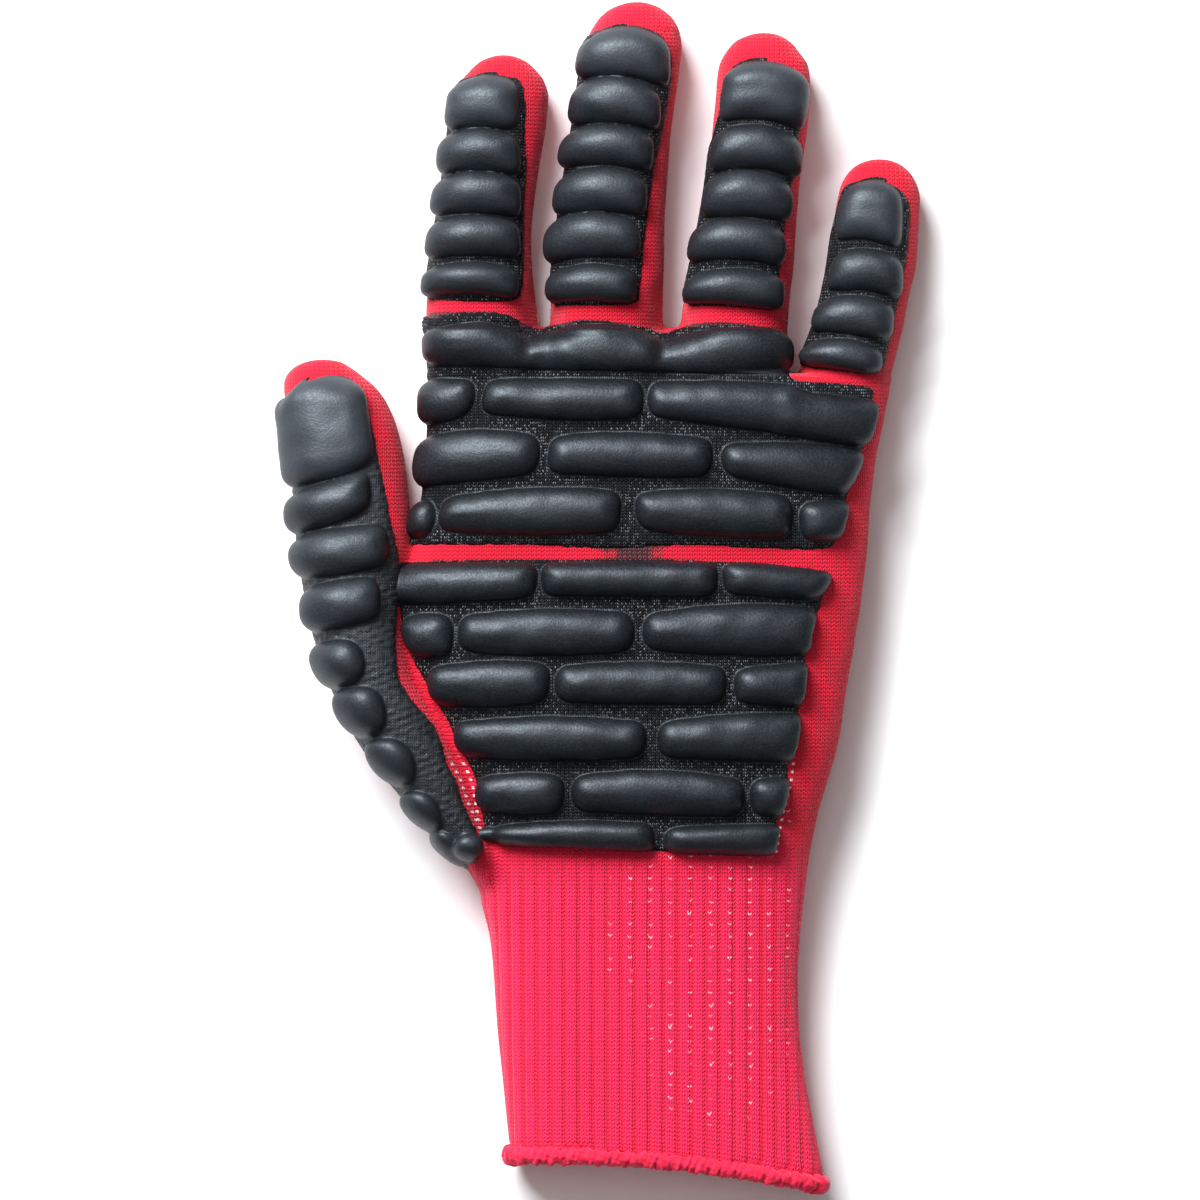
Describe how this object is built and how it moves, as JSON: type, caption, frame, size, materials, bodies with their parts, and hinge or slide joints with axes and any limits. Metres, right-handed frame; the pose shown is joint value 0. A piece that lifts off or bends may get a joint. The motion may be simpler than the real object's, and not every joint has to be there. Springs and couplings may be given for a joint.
{
  "type": "padded knit work glove",
  "caption": "Left-hand seamless knit work glove in red with black foam-cushioned rubber panels on palm, fingers and thumb, lying palm up on its back.",
  "frame": {"origin": "centre of the glove's outline on the surface that its back rests on", "axes": "+Y from the cuff to the fingertips, +Z out of the palm, +X across the palm away from the thumb"},
  "size_m": [0.1413, 0.2628, 0.0282],
  "materials": {
    "knit": "bright red seamless knit with fine vertical wales, ribbed at the cuff",
    "hem": "red overlocked edge, rolled and hairy",
    "rubber": "matt black moulded foam rubber with a soft sheen"
  },
  "bodies": {
    "root": {"knit_liner": "knit", "cuff_hem": "hem", "pad_index": "rubber", "pad_middle": "rubber", "pad_ring": "rubber", "pad_little": "rubber", "pad_thumb": "rubber", "pad_palm_upper": "rubber", "pad_palm_lower": "rubber"}
  },
  "joints": []
}
